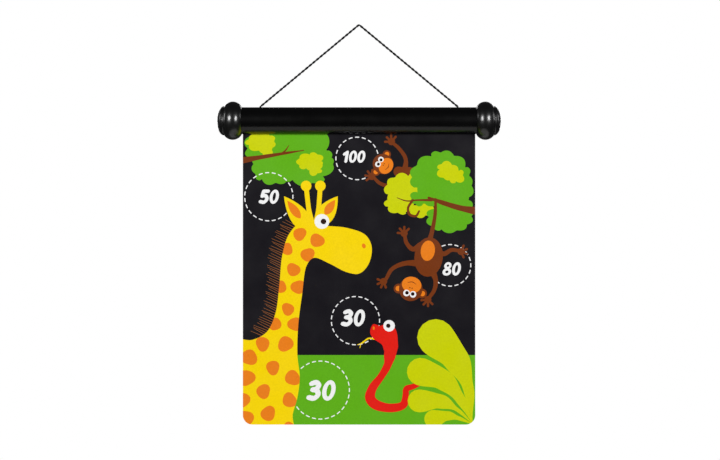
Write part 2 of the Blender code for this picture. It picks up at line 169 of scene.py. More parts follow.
def join_rings(bm, rings, closed=False, capped=True):
    """Faces from each ring of vertices to the next, as a list for each step, then the two caps."""
    pairs = list(zip(rings, rings[1:]))
    if closed:
        pairs.append((rings[-1], rings[0]))
    made = []
    for low, high in pairs:
        faces = []
        for i in range(len(low)):
            k = (i + 1) % len(low)
            corners = list(dict.fromkeys((low[i], low[k], high[k], high[i])))
            if len(corners) > 2:
                faces.append(bm.faces.new(corners))
        made.append(faces)
    if capped:
        made.append([bm.faces.new(rings[0]), bm.faces.new(rings[-1])])
    return made


def axis_ring(bm, x, radii):
    """A ring of vertices round the tube's axis, one for each radius."""
    ring = []
    for k, radius in enumerate(radii):
        angle = math.tau * k / len(radii)
        place = (x, radius * math.sin(angle), AXIS_Z + radius * math.cos(angle))
        ring.append(bm.verts.new(place))
    return ring


def turned(profile, side=1, steps=160, closed=True):
    """The (x, radius) profile spun about the tube's axis, mirrored to -X when side is -1."""
    bm = bmesh.new()
    rings = []
    for x, radius in profile:
        if radius == 0.0:
            rings.append([bm.verts.new((side * x, 0, AXIS_Z))] * steps)
        else:
            rings.append(axis_ring(bm, side * x, [radius] * steps))
    join_rings(bm, rings, closed, capped=False)
    return bm


def drawn_out(sections):
    """Outlines of (y, z) points from the tube's axis, each at its x, joined and capped."""
    bm = bmesh.new()
    rings = []
    for x, outline in sections:
        rings.append([bm.verts.new((x, y, AXIS_Z + z)) for y, z in outline])
    join_rings(bm, rings)
    return bm


def rounded(points, radii, steps=5):
    """The corners of a profile as arcs: each point has its own radius, and 0 keeps it sharp."""
    made = []
    count = len(points)
    for i, (point, radius) in enumerate(zip(points, radii)):
        corner = Vector(point)
        if radius == 0:
            made.append(tuple(corner))
            continue
        back = (Vector(points[i - 1]) - corner).normalized()
        ahead = (Vector(points[(i + 1) % count]) - corner).normalized()
        half = back.angle(ahead) / 2
        centre = corner + (back + ahead).normalized() * radius / math.sin(half)
        first = corner + back * radius / math.tan(half) - centre
        last = corner + ahead * radius / math.tan(half) - centre
        turn = first.angle_signed(last)
        for k in range(steps + 1):
            made.append(tuple(centre + Matrix.Rotation(-turn * k / steps, 2) @ first))
    return made


def box(low, high, turn=0.0):
    """A box between two corners given from the tube's axis, then turned about that axis."""
    low, high = Vector(low), Vector(high)
    bm = bmesh.new()
    bmesh.ops.create_cube(bm, size=1.0)
    size = Matrix.Diagonal((*(high - low), 1.0))
    place = Matrix.Translation((low + high) / 2)
    lift = Matrix.Translation((0, 0, AXIS_Z)) @ Matrix.Rotation(turn, 4, "X")
    bmesh.ops.transform(bm, matrix=lift @ place @ size, verts=bm.verts)
    return bm


def cut(obj, cutter_bm, name, operation="DIFFERENCE"):
    """Shapes a piece with a tool, and leaves no tool behind."""
    mesh = bpy.data.meshes.new(name)
    bmesh.ops.recalc_face_normals(cutter_bm, faces=cutter_bm.faces)
    cutter_bm.to_mesh(mesh)
    cutter_bm.free()
    cutter = new_object(name, mesh)
    modifier = obj.modifiers.new(name, "BOOLEAN")
    modifier.operation = operation
    modifier.solver = "EXACT"
    modifier.object = cutter
    graph = bpy.context.evaluated_depsgraph_get()
    shaped = bpy.data.meshes.new_from_object(obj.evaluated_get(graph))
    obj.modifiers.clear()
    bpy.data.objects.remove(cutter)
    bm = bmesh.new()
    bm.from_mesh(shaped)
    bmesh.ops.remove_doubles(bm, verts=bm.verts, dist=MERGE)
    bmesh.ops.dissolve_degenerate(bm, edges=bm.edges, dist=MERGE)
    bm.to_mesh(shaped)
    bm.free()
    shaped.set_sharp_from_angle(angle=math.radians(35.0))
    obj.data = shaped


def catmull_rom(points, samples, closed=False):
    """A centripetal Catmull-Rom curve through the points, with that many samples in each span."""
    points = [Vector(p) for p in points]
    if closed:
        points = [points[-1], *points, points[0], points[1]]
    else:
        points = [2 * points[0] - points[1], *points, 2 * points[-1] - points[-2]]
    knots = [0.0]
    for a, b in zip(points, points[1:]):
        knots.append(knots[-1] + math.sqrt((b - a).length))
    curve = []
    for i in range(1, len(points) - 2):
        t0, t1, t2, t3 = knots[i - 1 : i + 3]
        p0, p1, p2, p3 = points[i - 1 : i + 3]
        for k in range(samples):
            t = t1 + (t2 - t1) * k / samples
            a1 = p0 * ((t1 - t) / (t1 - t0)) + p1 * ((t - t0) / (t1 - t0))
            a2 = p1 * ((t2 - t) / (t2 - t1)) + p2 * ((t - t1) / (t2 - t1))
            a3 = p2 * ((t3 - t) / (t3 - t2)) + p3 * ((t - t2) / (t3 - t2))
            b1 = a1 * ((t2 - t) / (t2 - t0)) + a2 * ((t - t0) / (t2 - t0))
            b2 = a2 * ((t3 - t) / (t3 - t1)) + a3 * ((t - t1) / (t3 - t1))
            curve.append(b1 * ((t2 - t) / (t2 - t1)) + b2 * ((t - t1) / (t2 - t1)))
    if not closed:
        curve.append(points[-2])
    return curve


def evenly(curve, spacing):
    """The same line with points at an even spacing."""
    lengths = [0.0]
    for a, b in zip(curve, curve[1:]):
        lengths.append(lengths[-1] + (b - a).length)
    count = max(2, round(lengths[-1] / spacing))
    made, i = [], 0
    for k in range(count + 1):
        target = lengths[-1] * k / count
        while i < len(curve) - 2 and lengths[i + 1] < target:
            i += 1
        share = (target - lengths[i]) / (lengths[i + 1] - lengths[i])
        made.append(curve[i].lerp(curve[i + 1], min(max(share, 0.0), 1.0)))
    return made


# ---------------------------------------------------------------- materials

def linear(*rgb):
    """An 8-bit display colour as the linear colour that shaders take."""
    return tuple((value / 255) ** 2.2 for value in rgb)


class Finish:
    """A material whose Principled shader is fed by small procedural branches."""

    def __init__(self, name, colour, roughness, metallic=0.0, **sockets):
        self.material = bpy.data.materials.new(name)
        self.material.use_nodes = True
        self.tree = self.material.node_tree
        self.shader = self.tree.nodes["Principled BSDF"]
        self.colour = colour
        self.set("Base Color", (*colour, 1.0))
        self.set("Roughness", roughness)
        self.set("Metallic", metallic)
        self.material.diffuse_color = (*colour, 1.0)
        for socket, value in sockets.items():
            self.set(socket.replace("_", " "), value)
        self.place = self.add("ShaderNodeTexCoord").outputs["Object"]
        self.height = None

    def set(self, socket, value):
        self.shader.inputs[socket].default_value = value

    def add(self, kind, links=(), **values):
        node = self.tree.nodes.new(kind)
        for socket, value in values.items():
            node.inputs[socket.replace("_", " ")].default_value = value
        for socket, output in dict(links).items():
            self.tree.links.new(output, node.inputs[socket])
        return node

    def stretched(self, scale, place=None):
        """The place in the piece, or on its UV map, drawn out along some of its axes."""
        node = self.add("ShaderNodeMapping", {"Vector": place or self.place})
        node.inputs["Scale"].default_value = scale
        return node.outputs["Vector"]

    def noise(self, scale, detail=3.0, place=None):
        source = {"Vector": place or self.place}
        node = self.add("ShaderNodeTexNoise", source, Scale=scale, Detail=detail)
        return node.outputs["Fac"]

    def ranged(self, value, low, high, start=0.3, end=0.7):
        node = self.add("ShaderNodeMapRange", {"Value": value})
        numbers = {"From Min": start, "From Max": end, "To Min": low, "To Max": high}
        for socket, number in numbers.items():
            node.inputs[socket].default_value = number
        return node.outputs["Result"]

    def vary_roughness(self, value, low, high):
        self.tree.links.new(self.ranged(value, low, high), self.shader.inputs["Roughness"])

    def vary_colour(self, value, other, start=0.3, end=0.7):
        mix = self.tree.nodes.new("ShaderNodeMix")
        mix.data_type = "RGBA"
        if self.shader.inputs["Base Color"].links:
            before = self.shader.inputs["Base Color"].links[0].from_socket
            self.tree.links.new(before, mix.inputs["A"])
        else:
            mix.inputs["A"].default_value = (*self.colour, 1.0)
        mix.inputs["B"].default_value = (*other, 1.0)
        self.tree.links.new(self.ranged(value, 0.0, 1.0, start, end), mix.inputs["Factor"])
        self.tree.links.new(mix.outputs["Result"], self.shader.inputs["Base Color"])

    def bump(self, value, distance, strength=1.0):
        links = {"Height": value}
        if self.height:
            links["Normal"] = self.height
        node = self.add("ShaderNodeBump", links, Distance=distance, Strength=strength)
        self.height = node.outputs["Normal"]
        self.tree.links.new(self.height, self.shader.inputs["Normal"])

    def worn(self, gloss, mottle, *bumps):
        """The material with uneven gloss, a mottled colour and bumps.

        Each starts with the scale and detail of its noise. Then come the two roughnesses, or the
        other colour and the noise it starts and ends at, or the bump's height and strength.
        """
        self.vary_roughness(self.noise(*gloss[:2]), *gloss[2:])
        self.vary_colour(self.noise(*mottle[:2]), *mottle[2:])
        for bump in bumps:
            self.bump(self.noise(*bump[:2]), *bump[2:])
        return self.material


def black_gloss_plastic(name, grey, roughness, coat):
    """Moulded black plastic: a faint orange peel, uneven gloss and a little dust."""
    finish = Finish(name, (grey, grey, grey), roughness, IOR=1.49, Coat_Weight=coat)
    finish.set("Coat Roughness", 0.23)
    gloss = (38.0, 4.0, 0.88 * roughness, 1.15 * roughness)
    dust = (900.0, 2.0, (0.008, 0.0078, 0.008), 0.66, 0.78)
    return finish.worn(gloss, dust, (420.0, 2.0, 0.00001, 0.5), (45.0, 1.0, 0.00002, 0.2))


def grey_plastic():
    finish = Finish("grey_plastic", (0.20, 0.20, 0.21), 0.48)
    gloss, mottle = (45.0, 4.0, 0.40, 0.56), (260.0, 3.0, (0.165, 0.165, 0.175))
    return finish.worn(gloss, mottle, (1400.0, 2.0, 0.00003, 0.5))


def friction_rubber():
    finish = Finish("friction_rubber", (0.022, 0.022, 0.022), 0.80)
    gloss, bloom = (120.0, 4.0, 0.68, 0.88), (500.0, 4.0, (0.045, 0.044, 0.042), 0.5, 0.8)
    return finish.worn(gloss, bloom, (1800.0, 3.0, 0.00006, 0.7))


def zinc_steel():
    finish = Finish("zinc_steel", (0.62, 0.62, 0.59), 0.34, 1.0)
    gloss, tarnish = (240.0, 4.0, 0.24, 0.44), (330.0, 3.0, (0.50, 0.50, 0.46))
    return finish.worn(gloss, tarnish, (900.0, 2.0, 0.00002, 0.5))


def cord_fibre():
    """Black twisted yarn: fibres run along each ply, a little lighter where they fray."""
    finish = Finish("black_cord", (0.005, 0.005, 0.0055), 0.88, Sheen_Weight=0.08)
    finish.set("Sheen Roughness", 0.5)
    finish.set("Sheen Tint", (0.30, 0.30, 0.32, 1.0))
    finish.set("Specular IOR Level", 0.2)
    uv = finish.tree.nodes.new("ShaderNodeUVMap")
    uv.uv_map = "UVMap"
    fibres = finish.noise(1.0, 3.0, finish.stretched((900.0, 14.0, 1.0), uv.outputs["UV"]))
    finish.vary_colour(fibres, (0.020, 0.020, 0.022), 0.5, 0.8)
    finish.vary_roughness(fibres, 0.78, 0.94)
    finish.bump(fibres, 0.00016, 0.9)
    finish.bump(finish.noise(3200.0, 2.0), 0.00008, 0.6)
    return finish.material


def ink(name, colour):
    """Printed ink under a satin film, with the film's fine grain and a faint mottle."""
    finish = Finish(name, colour, 0.33, IOR=1.45)
    finish.set("Specular IOR Level", 0.35)
    darker = tuple(0.93 * value for value in colour)
    gloss, mottle = (28.0, 4.0, 0.27, 0.38), (420.0, 3.0, darker)
    return finish.worn(gloss, mottle, (2600.0, 2.0, 0.00002, 0.5), (22.0, 1.0, 0.00025, 0.25))


def sheet_back():
    """The unprinted side: dark iron-filled rubber with a fine rolled grain."""
    finish = Finish("sheet_back", (0.020, 0.020, 0.022), 0.60)
    finish.worn((26.0, 4.0, 0.50, 0.68), (900.0, 4.0, (0.038, 0.037, 0.038), 0.45, 0.75))
    finish.bump(finish.noise(1.0, 3.0, finish.stretched((260.0, 1.0, 2200.0))), 0.00004, 0.6)
    return finish.material


INK_COLOURS = {
    "charcoal": linear(27, 25, 30),
    "green": linear(98, 178, 30),
    "lime": linear(206, 214, 0),
    "yellow": linear(255, 219, 0),
    "orange": linear(241, 130, 32),
    "brown": linear(120, 58, 24),
    "mane": linear(150, 92, 52),
    "red": linear(232, 34, 24),
    "white": linear(250, 250, 250),
    "dark": linear(44, 22, 16),
}
INK_ORDER = list(INK_COLOURS)


# ---------------------------------------------------------------- the printed picture

class Picture:
    """Flat ink shapes in millimetres, each over the ones before it."""

    def __init__(self):
        self.shapes = []

    def add(self, ink_name, outline, holes=(), within=None):
        """Adds a closed outline. Within is the number of a shape that this one stays inside."""
        self.shapes.append((INK_ORDER.index(ink_name), outline, list(holes), within))
        return len(self.shapes) - 1

    def line(self, ink_name, points, widths, samples=7):
        self.add(ink_name, stroke(points, widths, samples))

    def clumps(self, ink_name, *clumps):
        for sizes in clumps:
            self.add(ink_name, clump(*sizes))


def disc(cx, cy, rx, ry=None, turn=0.0, steps=None):
    ry = rx if ry is None else ry
    steps = steps or max(12, round(5 * math.sqrt(max(rx, ry))))
    c, s = math.cos(math.radians(turn)), math.sin(math.radians(turn))
    made = []
    for i in range(steps):
        a = math.tau * i / steps
        u, v = rx * math.cos(a), ry * math.sin(a)
        made.append((cx + u * c - v * s, cy + u * s + v * c))
    return made


def clump(cx, cy, rx, ry, lobes, phase=0.0):
    """A leafy mass: an ellipse whose edge is a row of shallow round lobes, none of them alike."""
    starts = [math.tau * (i + 0.22 * math.sin(2.3 * i + phase)) / lobes for i in range(lobes)]
    starts.append(starts[0] + math.tau)
    made = []
    for start, end in zip(starts, starts[1:]):
        spread = end - start
        for k in range(10):
            a = start + spread * k / 10
            share = 1.0 + 0.20 * spread * (math.sin(math.pi * k / 10) - 1.0)
            share *= 1.0 + 0.04 * math.sin(2 * a + phase) + 0.03 * math.sin(3 * a - phase)
            made.append((cx + rx * share * math.cos(a), cy + ry * share * math.sin(a)))
    return made


def spot(centre, radius, phase):
    """A rounded patch, a little uneven."""
    made = []
    for i in range(22):
        a = math.tau * i / 22
        share = 1.0 + 0.07 * math.sin(3 * a + phase) + 0.06 * math.sin(2 * a - 2.1 * phase)
        made.append(polar(a, radius * share, centre))
    return made


def closed_curve(points, samples=7):
    return [tuple(p) for p in catmull_rom(points, samples, closed=True)]


def stroke(points, widths, samples=7):
    """A line that follows a smooth curve, as wide as its widths say, with round ends."""
    curve = catmull_rom(points, samples)
    last = len(curve) - 1
    sides = ([], [])
    for i, point in enumerate(curve):
        along = (curve[min(i + 1, last)] - curve[max(i - 1, 0)]).normalized()
        across = Vector((-along.y, along.x))
        at = i / last * (len(widths) - 1)
        k = min(int(at), len(widths) - 2)
        share = at - k
        share = share * share * (3 - 2 * share)
        half = (widths[k] + (widths[k + 1] - widths[k]) * share) / 2
        sides[0].append(point + across * half)
        sides[1].append(point - across * half)

    def cap(left, right, outward):
        middle, half = (left + right) / 2, (left - right) / 2
        steps = 8 if half.length > 1.0 else 3
        turns = [math.pi * k / steps for k in range(1, steps)]
        reach = outward * half.length
        return [middle + half * math.cos(a) + reach * math.sin(a) for a in turns]

    start = (curve[0] - curve[1]).normalized()
    end = (curve[-1] - curve[-2]).normalized()
    outline = sides[0] + cap(sides[0][-1], sides[1][-1], end)
    outline += sides[1][::-1] + cap(sides[1][0], sides[0][0], start)
    return [tuple(p) for p in outline]


def lens(base, tip, width):
    """A pointed leaf or ear between two points, widest in its middle."""
    base, tip = Vector(base), Vector(tip)
    along = tip - base
    across = Vector((-along.y, along.x)).normalized() * width / 2
    made = []
    for side in (1, -1):
        for k in range(10):
            t = k / 10 if side == 1 else 1 - k / 10
            bulge = math.sin(math.pi * t ** 0.8) ** 0.9 if 0 < t < 1 else 0.0
            made.append(tuple(base + along * t + across * side * bulge))
    return made


def moved(outline, place, turn=0.0, scale=1.0, lean=0.0):
    """An outline scaled, leant over, turned and moved to its place."""
    c, s = math.cos(math.radians(turn)), math.sin(math.radians(turn))
    made = []
    for x, y in outline:
        u, v = (x + lean * y) * scale, y * scale
        made.append((place[0] + u * c - v * s, place[1] + u * s + v * c))
    return made


DIGIT_WEIGHT = 0.24
DIGIT_LEAN = 0.17
DIGIT_STROKES = {
    "1": [[(0.04, 0.70), (0.27, 0.86)], [(0.27, 0.88), (0.27, 0.11)]],
    "3": [
        [(0.10, 0.83), (0.31, 0.89), (0.47, 0.74), (0.36, 0.57), (0.20, 0.54)],
        [(0.20, 0.54), (0.41, 0.49), (0.51, 0.30), (0.34, 0.12), (0.07, 0.16)],
    ],
    "5": [
        [(0.52, 0.89), (0.19, 0.89)],
        [(0.19, 0.89), (0.14, 0.54)],
        [(0.14, 0.54), (0.36, 0.58), (0.51, 0.35), (0.34, 0.12), (0.07, 0.16)],
    ],
}
DIGIT_RINGS = {
    "0": [((0.32, 0.50), (0.32, 0.50), (0.11, 0.30))],
    "8": [((0.32, 0.74), (0.27, 0.26), (0.09, 0.085)), ((0.32, 0.28), (0.32, 0.28), (0.12, 0.10))],
}
DIGIT_STEP = {"1": 0.47}


def add_number(picture, text, centre, height):
    """A bold leaning number, centred on a point."""
    steps = [DIGIT_STEP.get(mark, 0.68) for mark in text]
    at = -sum(steps) / 2 - DIGIT_LEAN / 2 + 0.02
    for mark, step in zip(text, steps):
        place = (centre[0] + at * height, centre[1] - height / 2)
        for line in DIGIT_STROKES.get(mark, []):
            outline = stroke(line, [DIGIT_WEIGHT, DIGIT_WEIGHT])
            picture.add("white", moved(outline, place, 0.0, height, DIGIT_LEAN))
        for middle, outer, inner in DIGIT_RINGS.get(mark, []):
            rim = moved(disc(*middle, *outer, steps=32), place, 0.0, height, DIGIT_LEAN)
            hole = moved(disc(*middle, *inner, steps=24), place, 0.0, height, DIGIT_LEAN)
            picture.add("white", rim, [hole])
        at += step


def add_dashed_circle(picture, centre, radius):
    dash_and_gap, dash, half_width = 8.3, 5.0, 0.65
    count = round(math.tau * radius / dash_and_gap)
    reach = dash / radius
    for i in range(count):
        middle = math.tau * i / count
        angles = [middle + reach * (k / 3 - 0.5) for k in range(4)]
        outer = [polar(a, radius + half_width, centre) for a in angles]
        inner = [polar(a, radius - half_width, centre) for a in reversed(angles)]
        picture.add("white", outer + inner)


# Each score: its digits, the circle's centre and radius, the digits' centre and height
SCORES = [
    ("100", (-2.4, 336.8), 26.9, (-6.0, 339.0), 15.5),
    ("50", (-114.2, 288.3), 30.5, (-113.4, 288.3), 18.0),
    ("80", (115.1, 201.5), 26.3, (117.5, 197.0), 17.0),
    ("30", (-4.5, 131.5), 30.5, (-6.8, 135.0), 21.5),
    ("30", (-48.9, 43.7), 36.7, (-47.0, 43.2), 26.0),
]


def add_scores(picture):
    for text, centre, radius, place, height in SCORES:
        add_dashed_circle(picture, centre, radius)
        add_number(picture, text, place, height)


def add_left_tree(picture):
    picture.clumps(
        "green",
        (-93, 351, 52, 34, 12, 0.4), (-72, 333, 40, 33, 10, 2.0), (-110, 325, 26, 23, 9, 3.1),
        (-58, 352, 22, 30, 7, 4.4), (-43, 328, 12, 13, 6, 0.9),
    )
    picture.clumps("lime", (-124, 357, 19, 13.5, 7, 1.2), (-117, 347, 8.5, 7.5, 5, 2.2))
    picture.line("brown", [(-150, 334), (-120, 339), (-96, 343), (-70, 347)], [8, 5, 3.5, 1.2])
    picture.line("brown", [(-99, 342), (-93, 347), (-89, 353)], [2.6, 1.8, 0.9])
    picture.clumps("lime", (-62, 333, 17.5, 12, 7, 0.2), (-56, 325, 11, 10, 5, 5.0))


def add_right_tree(picture):
    picture.clumps(
        "lime", (56, 296, 24, 24, 9, 0.3), (51, 279, 19, 14, 7, 2.6), (78, 271, 15, 10, 6, 1.2)
    )
    picture.add("lime", disc(88, 272, 7))
    picture.clumps(
        "green",
        (115, 262, 30, 20, 10, 0.8), (104, 313, 38, 35, 12, 1.9), (123, 303, 22, 27, 9, 3.3),
        (77, 287, 13, 11, 6, 0.6),
    )
    picture.line("green", [(90, 284), (112, 284), (138, 278)], [16, 14, 12])
    picture.clumps("lime", (112, 321, 15, 12, 6, 4.0), (122, 315, 12, 11, 5, 2.4))
    picture.line("brown", [(150, 270), (128, 274), (108, 280), (88, 287)], [10, 7, 6, 3])
    picture.line("brown", [(92, 284), (74, 284), (60, 283), (48, 287)], [3.2, 2.2, 1.6, 0.9])


def add_leaves(picture):
    """Four fat leaves that fan out of the lower right corner."""
    picture.line("lime", [(143, 3), (138, 47), (123, 82), (97, 110)], [1.5, 14, 33, 47])
    picture.line("lime", [(143, 3), (127, 34), (107, 56), (78, 67)], [1.5, 13, 26, 35])
    picture.line("lime", [(143, 2), (124, 19), (104, 29), (76, 30)], [1.5, 5, 18, 29])
    picture.line("lime", [(143, 1), (126, 8), (112, 11), (94, 7)], [1.5, 5, 12, 23])


def nape(count):
    """Even points down the back of the giraffe's neck."""
    line = [(-80, 252), (-95, 225), (-100, 190), (-102, 158), (-109, 130), (-122, 112)]
    curve = evenly(catmull_rom(line, 12), 0.5)
    return [curve[round(i * (len(curve) - 1) / (count - 1))] for i in range(count)]


def add_giraffe(picture):
    """A plain giraffe seen from the side, its neck along the left edge."""
    for i, root in enumerate(nape(50)):
        swing = 0.6 * math.sin(2.4 * i)
        tip = root + Vector((-15 + 2 * math.cos(1.7 * i), 7 + swing))
        picture.line("mane", [root + Vector((6, -3)), root, tip], [0.7, 0.8, 0.45], 3)
    for top, bottom in (((-67, 302), (-61, 255)), ((-49, 302), (-53, 255))):
        picture.line("yellow", [bottom, ((top[0] + bottom[0]) / 2, 275), top], [9, 6, 6])
        picture.add("yellow", disc(*top, 6.8))
    for base, tip in (((-60, 242), (-95, 289)), ((-54, 250), (-27, 289))):
        picture.add("yellow", lens(base, tip, 23))
        inner_base = Vector(base).lerp(Vector(tip), 0.40)
        inner_tip = Vector(base).lerp(Vector(tip), 0.88)
        picture.add("orange", lens(inner_base, inner_tip, 10.5))
    outline = [
        (-160, -8), (-160, 107), (-136, 107), (-117, 117), (-106, 140), (-101, 175),
        (-97, 215), (-88, 242), (-70, 258), (-44, 252), (-16, 249), (8, 240), (16, 225),
        (12, 203), (0, 191), (-16, 193), (-38, 204), (-57, 211), (-66, 202), (-72, 165),
        (-77, 125), (-78, 88), (-75, 60), (-78, 34), (-84, 12), (-84, -8),
    ]
    body = picture.add("yellow", closed_curve(outline))
    patch_rows = [
        (241, (-75,)), (233, (-53,)), (222, (-91,)), (215, (-65,)), (196, (-83,)),
        (174, (-99, -77)), (146, (-90,)), (127, (-106, -81)), (102, (-122, -93)),
        (85, (-139,)), (72, (-109,)), (59, (-142, -84)), (42, (-121,)), (31, (-149, -88)),
        (14, (-115,)), (8, (-144,)), (-6, (-88,)),
    ]
    patches = [(x, y) for y, places in patch_rows for x in places]
    for number, place in enumerate(patches):
        radius = 8.2 + 0.8 * math.sin(2.3 * number) + (1.4 if place[1] < 110 else 0.0)
        picture.add("orange", spot(place, radius, 1.9 * number), within=body)
    picture.add("white", disc(-47, 257, 9.5))
    picture.add("dark", disc(-45, 257, 3.6))
    picture.add("orange", disc(6, 226, 2.4, 3.2, 20))


def add_hand(picture, place, pointing):
    """A small round palm with four fingers."""
    root = Vector(place)
    for spread in (-66, -22, 22, 66):
        reach = polar(math.radians(pointing + spread), 1.0)
        picture.line("brown", [root, root + 4.5 * reach, root + 8.0 * reach], [3.4, 2.8, 3.0], 4)
    picture.add("brown", disc(*place, 4.6))


def add_limbs(picture, widths, *limbs):
    """Arms and legs, each with its line, its hand's place and the way that its fingers point."""
    for line, _, _ in limbs:
        picture.line("brown", line, widths)
    for _, hand, pointing in limbs:
        add_hand(picture, hand, pointing)


def add_monkey_head(picture, place, radius, turn):
    """A plain monkey's head: round ears, a light face and dot eyes, drawn in units of its radius."""
    def put(ink_name, outline):
        picture.add(ink_name, moved(outline, place, turn, radius))

    for side in (-1, 1):
        put("brown", disc(side * 0.98, 0.20, 0.40, steps=18))
        put("orange", disc(side * 1.01, 0.20, 0.22, steps=14))
    put("brown", disc(0, 0.04, 0.96, 0.98, steps=30))
    put("orange", disc(0, -0.32, 0.80, 0.66, steps=28))
    for side in (-1, 1):
        put("white", disc(side * 0.27, 0.42, 0.27, steps=18))
        put("dark", disc(side * 0.24, 0.39, 0.15, steps=14))
        put("dark", disc(side * 0.09, -0.06, 0.05, steps=8))
    put("brown", stroke([(-0.34, -0.44), (0, -0.56), (0.34, -0.44)], [0.04, 0.07, 0.04]))


def add_upper_monkey(picture):
    picture.line("brown", [(84, 302), (66, 315), (50, 320)], [24, 20, 13])
    add_limbs(
        picture,
        [8, 5, 4.5, 4],
        ([(57, 318), (59, 336), (50, 350), (43, 356)], (41, 358), 115),
        ([(54, 309), (40, 302), (27, 305), (19, 312)], (16, 314), 150),
    )
    add_monkey_head(picture, (30.5, 329.5), 13.2, 58)


def add_lower_monkey(picture):
    picture.line("brown", [(97, 285), (96, 264), (92, 243), (88, 228)], [3.2, 4.5, 5.5, 8])
    add_limbs(
        picture,
        [9, 6, 5, 4.5],
        ([(79, 227), (68, 222), (60, 230), (58, 238)], (57, 242), 110),
        ([(97, 222), (107, 216), (117, 221), (126, 220)], (129, 219), 0),
        ([(78, 204), (58, 204), (42, 197), (34, 184)], (31, 181), 225),
        ([(92, 196), (97, 182), (95, 170), (89, 161)], (87, 158), 250),
    )
    picture.add("brown", disc(88, 212, 18, 25, -6))
    picture.add("orange", disc(87, 220, 9, 13, -8))
    add_monkey_head(picture, (65.5, 172), 15.5, 168)


def add_snake(picture):
    """A plain snake that looks left out of the grass."""
    picture.line("yellow", [(21, 108), (12, 109), (4, 103)], [1.9, 1.9, 1.6])
    for tip in ((-2, 101), (1, 97)):
        picture.line("yellow", [(7, 106), (3, 103), tip], [1.4, 1.1, 0.8])
    line = [
        (41, 100), (39, 88), (36, 75), (28, 61), (17, 46), (14, 34), (20, 26), (39, 21),
        (56, 25), (59, 37), (60, 45), (68, 48), (78, 52),
    ]
    picture.line("red", line, [17, 15, 10, 9, 11, 13, 13, 11, 10, 8, 8, 7, 5])
    head = [
        (14, 117), (18, 127), (27, 125), (37, 129), (46, 121), (49, 106), (47, 92),
        (33, 92), (29, 101), (18, 109),
    ]
    picture.add("red", closed_curve(head))
    picture.add("white", disc(38, 125, 7.4))
    picture.add("dark", disc(37, 125, 2.8))
    picture.add("orange", disc(18.5, 122, 1.3, 2.2))


def draw_picture():
    picture = Picture()
    picture.add("green", [(-160, -8), (160, -8), (160, 88), (-160, 88)])
    add_left_tree(picture)
    add_scores(picture)
    add_upper_monkey(picture)
    add_right_tree(picture)
    tail = [(68, 284), (62, 274), (64, 266), (72, 264), (76, 270)]
    picture.line("brown", tail, [3, 3, 3.4, 3, 2.4])
    add_lower_monkey(picture)
    add_giraffe(picture)
    add_snake(picture)
    add_leaves(picture)
    return picture


# ---------------------------------------------------------------- the sheet

def sheet_bow(x, z):
    """How far the hanging sheet stands off its flat plane: a slight set left by the roll."""
    down = min(max((SLOT_Z - z) / (SLOT_Z - SHEET_BOTTOM), 0.0), 1.0)
    wave = math.sin(math.pi * down) ** 2
    across = math.cos(math.pi * x / (2.4 * SHEET_HALF))
    return -0.00055 * wave * across + 0.0002 * wave * math.sin(9.0 * x / SHEET_HALF)


def counterclockwise(loop):
    area = 0.0
    for (ax, ay), (bx, by) in zip(loop, [*loop[1:], loop[0]]):
        area += ax * by - bx * ay
    return list(loop) if area > 0 else list(loop)[::-1]


def split_flat(outline, loops, step=9.0):
    """Triangles of a flat outline in millimetres, cut along every loop.

    Returns the points, the triangles, and for each triangle the numbers of the loops it is in.
    """
    points = [Vector(p) for p in counterclockwise(outline)]
    faces = [list(range(len(points)))]
    for loop in loops:
        first = len(points)
        points += [Vector(p) for p in counterclockwise(loop)]
        faces.append(list(range(first, len(points))))
    xs, ys = zip(*outline)
    left, low = min(xs), min(ys)
    width, height = max(xs) - left, max(ys) - low
    across, up = math.floor(width / step), math.floor(height / step)
    for i in range(1, across):
        for k in range(1, up):
            x = left + width * (i + 0.5 * (k % 2)) / across
            points.append(Vector((x, low + height * k / up)))
    made = geometry.delaunay_2d_cdt(points, [], faces, 0, 1e-5, True)
    kept, owners = [], []
    for corners, owner in zip(made[2], made[5]):
        if 0 in owner:
            kept.append(corners)
            owners.append({number - 1 for number in owner if number})
    return made[0], kept, owners


def ink_of(owners, picture, first_loop):
    """The ink on top of one triangle."""
    def covered(number):
        return first_loop[number] in owners

    best = INK_ORDER.index("charcoal")
    for number, (ink_number, _, holes, within) in enumerate(picture.shapes):
        if not covered(number) or (within is not None and not covered(within)):
            continue
        in_hole = any(first_loop[number] + 1 + k in owners for k in range(len(holes)))
        if not in_hole:
            best = ink_number
    return best


def boundary_of(triangles):
    """The outer edges of flat triangles, as one ordered loop of point numbers."""
    after = {}
    for a, b, c in triangles:
        for start, end in ((a, b), (b, c), (c, a)):
            if (end, start) in after:
                del after[(end, start)]
            else:
                after[(start, end)] = True
    following = dict(after.keys())
    first = next(iter(following))
    loop, at = [first], following[first]
    while at != first:
        loop.append(at)
        at = following[at]
    return loop


